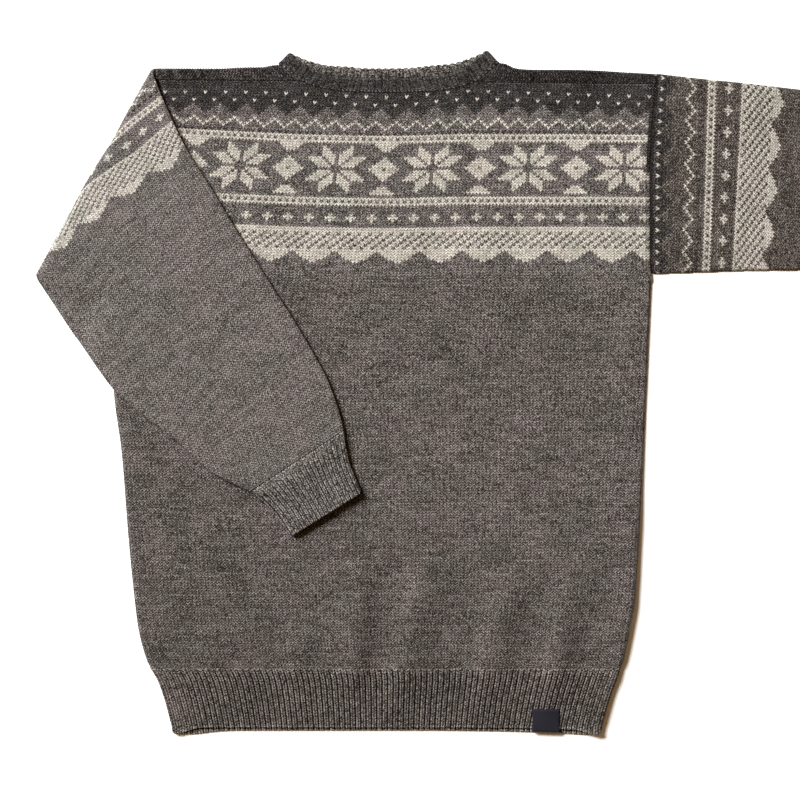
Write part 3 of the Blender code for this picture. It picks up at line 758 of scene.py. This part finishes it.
def front_place(u, v, lift):
    """The front: its sides wrap round to the surface below the underarm."""
    share = u / BODY_WALES
    x = ROUGH_LEFT + share * ROUGH_WIDTH
    for _ in range(3):
        y = row_height(v, x)
        left, right = body_edge(y, 1), body_edge(y, 2)
        x = left + share * (right - left)
    neck_limit = neck_height(FRONT_NECK_SEAM, x) - JOIN_GAP
    top = np.minimum(shoulder_seam(x) + SEAM_LAP, neck_limit) - SEAM_GAP
    cut = y > top
    y = np.minimum(y, top)
    left, right = body_edge(y, 1), body_edge(y, 2)
    width = right - left
    lift = np.where(cut, SKIN_LEVEL, lift)
    radius = FRONT_TOP
    length = width - 2 * radius + math.pi * radius
    inset, level, side, up = flat_tube(share * length, width, 2 * radius)
    wrapped = (inset + side * lift, level + up * lift)
    reach = np.minimum(share, 1 - share) * width
    plain = (share * width, FRONT_TOP + lift + bells(reach, ARMHOLE_SWELLS))
    t = ease(y - UNDERARM, *UNWRAP)
    x = left + wrapped[0] + t * (plain[0] - wrapped[0])
    z = wrapped[1] + t * (plain[1] - wrapped[1])
    loose = bare(x, y) * calm(reach, y) * (waves(x, y) + WAVE_LEVEL)
    z = (z + up * (ridges(x, y) + loose)) * side_roll(x, y)
    return stacked(x, y, z)


def back_place(u, v, lift):
    """The back rests on the surface, and its stitches face down."""
    share = u / BODY_WALES
    y = BACK_SEAM + (HEM_TOP - JOIN_GAP - BACK_SEAM) * v / BODY_ROWS
    left, right = body_edge(y, 1), body_edge(y, 2)
    x = left + BACK_INSET + share * (right - left - 2 * BACK_INSET)
    neck_limit = neck_height(BACK_NECK_SEAM, x) - JOIN_GAP
    top = np.minimum(BACK_SEAM, neck_limit) - SEAM_GAP
    lift = np.where(y > top, SKIN_LEVEL, lift)
    y = np.minimum(y, top)
    return stacked(x, y, BACK_LEVEL - (lift - SKIN_LEVEL) * BACK_RELIEF)


def knitted(
    name, place, columns, rows, limits, bands, material, flip=False, per_row=2, shift=0,
    edge=None, beads=False, painted_shade_rows=0, painted_light_side=False, join_crest=JOIN_CREST,
):
    """A plain knitted skin from column and row ranges, with its colour pattern.
    limits are the rows where the cloth ends. shift moves the pattern across, edge changes it.
    beads rounds the stitches and sets their painted shade and light, painted_shade_rows paints
    shade on the first rows, in the seam at their start, and painted_light_side paints light on the
    last columns, whose wall faces away from the sun."""
    groove = BEAD_GROOVE if beads else WALE_GROOVE
    u, v, lift, even_v, crest = wool_grid(*columns, *rows, *limits, per_row, groove)
    # Beads: crest values that paint light on their heads and shade on their first columns
    if beads:
        crest[np.isclose(crest, HEAD_CREST)] = BEAD_CREST
        odd = ~np.isclose(even_v[:, 1] % 1, 0)
        crest[:, :2] = BEAD_SIDE_CREST
        crest[odd, 1] = BEAD_LEG_CREST
    # Painted shade on the first rows, in the seam at their start
    if painted_shade_rows:
        crest[even_v < painted_shade_rows] *= PAINTED_SEAM_SHADE
    elif rows[0] == limits[0]:
        crest[0] = FIRST_ROW_CREST
    # Painted shade along the join with the next piece
    if rows[1] == limits[1]:
        crest[-1] = join_crest
    # Painted light on the right side's wall, which faces away from the sun
    if painted_light_side:
        crest[:, -5:] = np.minimum(crest[:, -5:] + SIDE_CREST, SIDE_CREST_LIMIT)
    points = place(u, v, lift)
    count = rows[1] - rows[0]
    pattern = chart(bands, count, rows[0], columns[1] - columns[0], shift)
    if edge:
        edge(pattern)
    cell = {
        "yarn": np.repeat(np.repeat(pattern, 2, axis=1), per_row, axis=0),
        "shade": leg_shades(count, 2 * (columns[1] - columns[0]), per_row),
    }
    if per_row == 1:
        crest = np.full_like(crest, BACK_CREST)
    return skin(name, points, cell, crest, spread_uv(u, even_v), material, flip)


def armhole_band(pattern):
    """The last stitch beside the right armhole is charcoal down to the stars."""
    pattern[:ARMHOLE_BAND_ROWS, -1:] = CHARCOAL


def body():
    across = (0, BODY_WALES)
    limits = (0, BODY_ROWS)
    yoke = knitted(
        "knit_yoke", front_place, across, (0, YOKE_ROWS), limits, YOKE,
        wool_of("yoke", BODY_WALES, YOKE_ROWS), edge=armhole_band,
    )
    lower = knitted(
        "knit_front", front_place, across, (YOKE_ROWS, BODY_ROWS), limits, (),
        wool_of("front", BODY_WALES, BODY_ROWS - YOKE_ROWS), painted_light_side=True,
    )
    back = knitted(
        "knit_back", back_place, across, limits, limits, (),
        wool_of("back", BODY_WALES, BODY_ROWS), flip=True, per_row=1,
    )
    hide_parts("body_front")
    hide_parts("body_front")
    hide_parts("body_back")


def sleeve_place(upper, lower, rows, bend=None, fitted=False):
    """Where a stitch of a sleeve lies: u is 0 on its upper fold, and negative on its lower layer.
    fitted presses its lower fold and lays its start along the body's armhole."""

    def place(u, v, lift):
        x0, y0 = edge_point(upper, along(rows, v, 1))
        x1, y1 = edge_point(lower, along(rows, v, 2))
        width = np.hypot(x1 - x0, y1 - y0)
        reach = np.abs(u) * STITCH
        cut = reach >= layer_length(width, SLEEVE_HEIGHT)
        lift = np.where(cut, SKIN_LEVEL, lift)
        inset, level, side, up = flat_tube(reach, width, SLEEVE_HEIGHT)
        lift = lift - SLEEVE_DIP * up * (1 - smoothstep(v / SLEEVE_DIP_ROWS))
        share = (inset + side * lift) / width
        x, y = x0 + share * (x1 - x0), y0 + share * (y1 - y0)
        z = SLEEVE_HEIGHT / 2 + np.where(u < 0, -1, 1) * (level + up * lift)
        if fitted:
            z = z * (1 - PRESS * bell(width - inset, PRESS_WIDTH))
            (x_low, y_low), (x_high, y_high) = lower[0], upper[0]
            line = x_low + (y - y_low) * (x_high - x_low) / (y_high - y_low)
            x = x + (body_edge(y, 2) - line) * (1 - smoothstep(v / STRAIGHT_ROWS))
        if bend:
            x, y, z = bend(x, y, z)
        return stacked(x, y, z)

    return place


def sag(x, y):
    """How far the laid sleeve drops where neither the body nor the sleeve's root is under it."""
    (x0, y0), (y1, x1, _) = CREASE_FOOT, ARMHOLES[0]
    below_root = y0 + (y1 - y0) / (x1 - x0) * (x - x0) - y
    clear = np.maximum(0.0, np.minimum(body_edge(y, 1) - x, below_root))
    return (2 * FOLD_RADIUS - SLEEVE_HEIGHT) * ease(clear, *SAG_RUN)


def folded(x, y, z):
    """Where a point of the unfolded left sleeve lies once it is folded over the front."""
    (x0, y0), (x1, y1) = CREASE_TOP, CREASE_FOOT
    length = math.hypot(x1 - x0, y1 - y0)
    out = (y1 - y0) / length, (x0 - x1) / length
    bulge = bells((x - x0) * -out[1] + (y - y0) * out[0], CREASE_BULGES)
    beyond = (x - x0) * out[0] + (y - y0) * out[1] + FOLD_RADIUS - bulge
    turn = np.clip(beyond / FOLD_RADIUS, 0, math.pi)
    laid = np.maximum(0.0, beyond - math.pi * FOLD_RADIUS)
    radius = FOLD_RADIUS - z
    shift = np.where(beyond > 0, radius * np.sin(turn) - laid - beyond, 0.0)
    x, y = x + shift * out[0], y + shift * out[1]
    level = np.where(beyond > 0, FOLD_RADIUS - radius * np.cos(turn), z)
    return x, y, level - np.where(laid > 0, sag(x, y), 0.0)


SLEEVES = (
    ("right", RIGHT_UPPER, RIGHT_LOWER, RIGHT_ROWS, RIGHT_CUFF_END, None, "laid"),
    ("left", LEFT_UPPER, LEFT_LOWER, LEFT_ROWS, LEFT_CUFF_END, folded, "folded"),
)


def sleeves():
    across = (-SLEEVE_WALES, SLEEVE_WALES)
    for side, upper, lower, rows, _, bend, held in SLEEVES:
        right = side == "right"
        count = rows[-1][0]
        piece = knitted(
            f"knit_sleeve_{side}", sleeve_place(upper, lower, rows, bend, fitted=right), across,
            (0, count), (0, count), SLEEVE, wool_of(f"sleeve_{side}", 2 * SLEEVE_WALES, count),
            flip=right, shift=4, painted_shade_rows=1.3, join_crest=CUFF_JOIN_CREST,
        )
        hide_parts(f"sleeve_{side}")


def ribbed(
    name, place, ribs, material, rows, length, depth_inside, flip=False, level=RIB_LEVEL,
    rib_depth=RIB_DEPTH, centre_share=0.5, centre_crest=0.3, inside_relief=0.5, scallop=0.4,
    purl_ridge=False, valley_crest=0.0, edge_painted_light=1.0, calm_ribs=0.0, rib_start=RIB_START,
    join_crest=JOIN_CREST,
):
    """A ribbed ring: outer skin, rolled edge, then a short way down its inside.
    place takes ribs round the ring from one fold, share along, and lift off the cloth's middle.
    centre_share and centre_crest are for the groove between a rib's legs, and centre_crest sets its
    painted shade; calm_ribs is how far from a fold the valleys' painted shade is lighter, and
    join_crest the crest value where the ring is sewn on, which sets the painted shade there."""
    across = np.arange(2 * RIB_POINTS * ribs + 1) / RIB_POINTS - ribs
    turn_share = HALF_WALL / length
    outer = np.arange(2 * rows + 1) / (2 * rows) * (1 - turn_share)
    angles = np.radians(EDGE_ANGLES)
    inner_rows = max(3, round(depth_inside * 2 * rows / length))
    inner = (1 - turn_share) - np.arange(1, inner_rows + 1) / inner_rows * depth_inside / length
    rolled = 1 - turn_share + turn_share * np.sin(angles)
    t = np.concatenate([[-TUCK / length], outer, rolled, inner])

    def by_row(outside, edge, inside):
        parts = [np.full(1 + len(outer), outside), edge, np.full(inner_rows, inside)]
        return np.concatenate(parts)[:, None]

    base = by_row(1.0, np.cos(angles), -1.0)
    edge_relief = EDGE_RELIEF - EDGE_RELIEF_LOSS * (1 - np.cos(angles))
    relief = by_row(1.0, edge_relief, inside_relief)
    bulge = by_row(0.0, np.sin(angles), 0.0)
    ring_row = np.arange(len(t)) - 1
    odd = (ring_row % 2 == 1)[:, None] * 1.0
    odd[len(outer)] = 1.0
    on_outer = ((ring_row >= 0) & (ring_row < len(outer)))[:, None]
    start = smoothstep(ring_row / rib_start)[:, None]

    u, t_grid = np.meshgrid(across, t)
    part = u % 1
    valley, centre = np.isclose(part, 0), np.isclose(part, 0.5)
    slant = (0.5 - np.abs(2 * part - 1)) * LEAN * (1 - turn_share) / rows
    t_grid = np.where(on_outer, np.clip(t_grid + slant, 0, 1 - turn_share), t_grid)
    t_grid -= valley * scallop / length * bulge
    depths = [-rib_depth, -centre_share * rib_depth]
    shape = np.select([valley, centre], depths, RIB_ROW_RISE * odd)
    raised = start * (shape + level) - (1 - start) * RIB_START_DROP
    # Crest values, which set the painted shade of valleys and grooves: lighter near the folds, set
    # at the join, and blended from plain rows where the ribs start
    fold = np.isclose(np.abs(u), ribs)
    near = np.minimum(np.abs(u), ribs - np.abs(u))
    valley_tone = valley_crest + (CALM_CREST * bell(near, calm_ribs) if calm_ribs else 0.0)
    tones = [FOLD_CREST, valley_tone, centre_crest]
    row_crest = RIB_ROW_CRESTS[0] + RIB_ROW_CRESTS[1] * odd
    rib_crest = np.select([fold, valley, centre], tones, 1.0) * row_crest
    row_crest = PLAIN_ROW_CRESTS[0] + PLAIN_ROW_CRESTS[1] * odd
    plain_crest = row_crest * np.where(centre | valley, PLAIN_GROOVE_CREST, 1.0)
    plain_crest[:2] = join_crest
    crest = plain_crest + start * (rib_crest - plain_crest)
    if purl_ridge:
        bead = ~(valley | centre)[2]
        raised[1:4] = PURL_LEVELS
        raised[2] += PURL_RISE * bead
        # Painted highlight on the beads, painted shade around them
        crest[:4] = PURL_SIDE_CREST
        crest[2] = np.where(bead, PURL_CREST, PURL_GAP_CREST)
    # The rolled edge faces away from the sun; edge_painted_light paints light on it
    rolled_rows = slice(1 + len(outer), 1 + len(outer) + len(angles))
    crest[rolled_rows] *= edge_painted_light
    raised[0] = -TUCK_DROP
    lift = base * HALF_WALL + np.sign(base) * relief * raised
    cell_rows, cell_columns = len(t) - 1, len(across) - 1
    pairs = rng.random((cell_rows // 2 + 1, cell_columns // 2))
    shade = np.repeat(np.repeat(pairs, 2, axis=0)[:cell_rows], 2, axis=1)
    cell = {"yarn": np.zeros((cell_rows, cell_columns)), "shade": shade}
    v = np.broadcast_to(np.arange(len(t))[:, None] * 1.0, u.shape)
    return skin(name, place(u, t_grid, lift), cell, crest, spread_uv(u, v), material, flip)


def ring_layer(u, ribs, width, height, lift):
    """Inset, height and layer of a point of a flattened ring, at a lift off its cloth's middle."""
    bend = height - WALL
    reach = np.abs(u) / ribs * layer_length(width, bend)
    inset, level, side, up = flat_tube(reach, width - WALL, bend)
    upper = np.where(u < 0, -1.0, 1.0)
    return inset + HALF_WALL + side * lift, height / 2 + upper * (level + up * lift), upper


def rounded_corner(near, radius):
    """How far a ring's free edge draws back near its folds."""
    return radius * (1 - np.sqrt(1 - np.clip(1 - near / radius, 0, 1) ** 2))


def hem():
    def place(u, t, lift):
        y = HEM_TOP - t * HEM_ROUGH_LENGTH
        for _ in range(2):
            left, right = along(HEM_SIDES, y, 1), along(HEM_SIDES, y, 2)
            inset, z, upper = ring_layer(u, HEM_RIBS, right - left, HEM_HEIGHT, lift)
            x = left + inset
            front, back = along(HEM_EDGE, x, 1), along(HEM_EDGE, x, 2)
            near = np.maximum(0.0, np.minimum(x - left, right - x))
            edge = np.where(upper > 0, back + ease(near, *HEM_PART) * (front - back), back)
            edge = edge + rounded_corner(near, HEM_CORNER)
            y = HEM_TOP - JOIN_GAP + t * (edge - HEM_TOP + JOIN_GAP)
        z = (z + np.where(upper > 0, ridges(x, y), 0.0)) * side_roll(x, y)
        return stacked(x, y, z)

    piece = ribbed(
        "rib_hem", place, HEM_RIBS, wool_of("hem", 4 * HEM_RIBS, 30), rows=22, length=61.0,
        depth_inside=10.0, centre_share=0.4, centre_crest=0.45, edge_painted_light=1.9, calm_ribs=5.0,
    )
    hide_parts("hem_rib")


def cuff_place(start, end, bend=None):
    widths = [math.dist(*start), math.dist(*end)]

    def place(u, t, lift):
        edges = [[s + t * (e - s) for s, e in zip(start[k], end[k])] for k in (0, 1)]
        middle = [(a + b) / 2 for a, b in zip(*edges)]
        across = [b - a for a, b in zip(*edges)]
        span = np.hypot(*across)
        width = widths[0] + along(CUFF_TAPER, t) * (widths[1] - widths[0])
        height = SLEEVE_HEIGHT * (1 + CUFF_FLARE * ease(t, *CUFF_FLARE_RUN))
        inset, z, _ = ring_layer(u, CUFF_RIBS, width, height, lift)
        near = np.maximum(0.0, np.minimum(inset, width - inset))
        draw = rounded_corner(near, CUFF_CORNER) * t / CUFF_LENGTH
        share = (inset - width / 2) / span
        ahead = [(e0 + e1 - s0 - s1) / 2 for e0, e1, s0, s1 in zip(*end, *start)]
        x, y = (m + share * a - draw * f for m, a, f in zip(middle, across, ahead))
        if bend:
            x, y, z = bend(x, y, z + SLEEVE_HEIGHT - height)
        return stacked(x, y, z)

    return place


def cuffs():
    for side, upper, lower, _, end, bend, held in SLEEVES:
        piece = ribbed(
            f"rib_cuff_{side}", cuff_place((upper[-1], lower[-1]), end, bend), CUFF_RIBS,
            wool_of(f"cuff_{side}", 4 * CUFF_RIBS, 32), rows=24, length=CUFF_LENGTH,
            depth_inside=12.0, flip=side == "right", level=0.4, rib_depth=1.15,
            centre_share=0.45, centre_crest=0.38, valley_crest=0.04, rib_start=11,
            join_crest=CUFF_JOIN_CREST,
        )
        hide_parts(f"cuff_{side}")


def neck_curve(seam, top, rise, q):
    """A row of the neckband: q goes from -1 to 1 across it, rise from its seam to its top."""
    half_top = np.where(q < 0, *NECK_HALF_TOPS)
    half = NECK_HALF_SEAM + rise * (half_top - NECK_HALF_SEAM)
    low = along(seam, np.abs(q))
    high = along(top, np.abs(q)) + NECK_TILT * q * half
    return NECK_MIDDLE + q * half, low + rise * (high - low)


def neck():
    def place(u, t, lift):
        width = 2 * NECK_HALF_SEAM
        bend = 2 * NECK_BEND
        reach = np.abs(u) / NECK_RIBS * layer_length(width, bend)
        inset, level, side, up = flat_tube(reach, width, bend)
        q = 2 * inset / width - 1
        front = neck_curve(FRONT_NECK_SEAM, FRONT_NECK_TOP, t, q)
        back = neck_curve(BACK_NECK_SEAM, BACK_NECK_TOP, t, q)
        upper = np.where(u < 0, -1.0, 1.0)
        x = np.where(upper > 0, front[0], back[0]) + side * lift
        y = np.where(upper > 0, front[1], back[1])
        z = HALF_WALL + NECK_BEND + upper * (level + up * lift)
        return stacked(x, y, z)

    piece = ribbed(
        "rib_neck", place, NECK_RIBS, wool_of("neck", 4 * NECK_RIBS, 20), rows=6, length=14.5,
        depth_inside=13.0, flip=True, level=0.0, rib_depth=0.85, inside_relief=0.7, scallop=1.7,
        purl_ridge=True, centre_share=0.3, centre_crest=0.6, valley_crest=0.2,
    )
    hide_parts("neckband")


def straps():
    bend = FRONT_TOP / 2
    for name, shoulder, armhole, side, rows in (
        ("left", SHOULDER_LEFT, -237.0, -1, 48),
        ("right", SHOULDER_RIGHT, 273.4, 1, 61),
    ):
        inner_end = shoulder[-1][0] if side < 0 else shoulder[0][0]

        def place(u, v, lift):
            lift = STRAP_RELIEF * lift
            share = v / rows
            x = armhole + share * (inner_end - armhole)
            fold, seam = along(shoulder, x), shoulder_seam(x)
            first, arc = fold - bend - seam, math.pi * bend
            last = fold - bend - BACK_SEAM
            reach = u / STRAP_WALES * (first + arc + last)
            turn = np.clip((reach - first) / bend, 0, math.pi)
            on_back = np.maximum(0.0, reach - first - arc)
            turned = fold - bend + (bend + lift) * np.sin(turn) - on_back
            y = np.where(reach < first, seam + reach, turned)
            z = bend + (bend + lift) * np.cos(turn)
            drop = np.sign(np.cos(turn)) * STRAP_EDGE_DROP
            z = z - drop * bell(np.minimum(u, STRAP_WALES - u), STRAP_EDGE_WIDTH)
            front_end, back_end = (
                NECK_MIDDLE + side * (neck_reach(neck_seam, y) + STRAP_GAP)
                for neck_seam in (FRONT_NECK_SEAM, BACK_NECK_SEAM)
            )
            end = np.where(turn < math.pi / 2, front_end, back_end)
            x = armhole + share * (end - armhole)
            return stacked(x, y, np.maximum(z, LEAST_HEIGHT))

        piece = knitted(
            f"knit_strap_{name}", place, (0, STRAP_WALES), (0, rows), (0, rows), (),
            wool_of(f"strap_{name}", STRAP_WALES, rows), flip=side > 0, beads=True,
        )
        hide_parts(f"shoulder_strap_{name}")


def label():
    """A bare woven label, sewn to the hem and lapped over its edge."""
    top = FRONT_TOP + LABEL_LIFT + LABEL_THICK
    x = np.linspace(LABEL_LEFT, LABEL_RIGHT, LABEL_COLUMNS + 1)
    lip = along(HEM_EDGE, x, 1) - LABEL_LAP

    def row(y, z):
        return stacked(x, y, np.full_like(x, z))

    turn = lip + LABEL_BEND
    downs = np.linspace(0, 1, LABEL_ROWS)
    profile = [row(LABEL_TOP + down * (turn - LABEL_TOP), top) for down in downs]
    for angle in np.radians([30, 60, 90]):
        y = turn - LABEL_BEND * math.sin(angle) - LABEL_BEND_OUT
        profile.append(row(y, top - LABEL_BEND + LABEL_BEND * math.cos(angle)))
    profile.append(row(lip - LABEL_BEND_OUT, LABEL_FOOT))
    profile.append(row(lip + LABEL_END_BACK, LABEL_FOOT))
    points = np.array(profile)
    points[:LABEL_ROWS, :, 2] += LABEL_PUFF * np.sin(np.linspace(0, math.pi, LABEL_COLUMNS + 1))
    points[:-2, :, 2] += ridges(points[:-2, :, 0], points[:-2, :, 1])
    s = Shader("ribbon")
    place = s.node("ShaderNodeTexCoord").outputs["Object"]
    values = {"Vector": place, "Scale": 900.0, "Distortion": 1.5}
    weave = s.node("ShaderNodeTexWave", values, wave_type="BANDS", bands_direction="Y")
    tint = s.mix(s.noise(place, 2500.0), (0.008, 0.008, 0.013), (0.02, 0.02, 0.032))
    colour = s.mix(weave.outputs[0], (0.007, 0.007, 0.012), tint)
    levels = {"Roughness": 0.6, "Specular IOR Level": 0.12}
    ribbon = s.dress(colour, levels, weave.outputs[0], strength=0.5, distance=0.0002)
    cell = {"yarn": np.zeros((len(profile) - 1, LABEL_COLUMNS))}
    crest = np.ones(points.shape[:2])
    v, u = np.meshgrid(np.arange(len(profile)), np.arange(LABEL_COLUMNS + 1), indexing="ij")
    piece = skin("label_ribbon", points, cell, crest, spread_uv(u, v), ribbon)
    solid = piece.modifiers.new("thickness", "SOLIDIFY")
    solid.thickness = 0.0005
    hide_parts("hem_label")


def stage():
    """The floor, the light and the camera."""
    bpy.ops.mesh.primitive_plane_add(size=60.0, location=(0, 0, 0))
    floor = bpy.context.active_object
    floor.name = "floor"
    s = Shader("paper")
    grain = s.noise(s.node("ShaderNodeTexCoord").outputs["Object"], 60.0, 3.0)
    colour = s.mix(grain, (0.95, 0.95, 0.94), (0.97, 0.97, 0.96))
    floor.data.materials.append(s.dress(colour, {"Roughness": 0.9}))

    world = bpy.data.worlds.new("sky")
    world.use_nodes = True
    sky = world.node_tree.nodes["Background"]
    sky.inputs["Color"].default_value = (1.0, 0.62, 0.28, 1.0)
    sky.inputs["Strength"].default_value = 0.20
    scene = bpy.context.scene
    scene.world = world
    sun = bpy.data.objects.new("sun", bpy.data.lights.new("sun", "SUN"))
    sun.data.energy = 8.0
    sun.data.angle = math.radians(26)
    travel = Vector((0.593, -0.534, -0.602))
    sun.rotation_euler = travel.to_track_quat("-Z", "Y").to_euler()
    scene.collection.objects.link(sun)
    scene.view_settings.view_transform = "Standard"
    scene.view_settings.look = "None"

    camera = bpy.data.objects.new("camera", bpy.data.cameras.new("camera"))
    camera.data.sensor_width = 36.0
    camera.data.lens = 132.35
    camera.data.clip_start, camera.data.clip_end = 0.1, 20.0
    camera.location = (0.01224, 0.0051, 3.005)
    scene.collection.objects.link(camera)
    scene.camera = camera


stage()
body()
sleeves()
hem()
cuffs()
neck()
straps()
label()
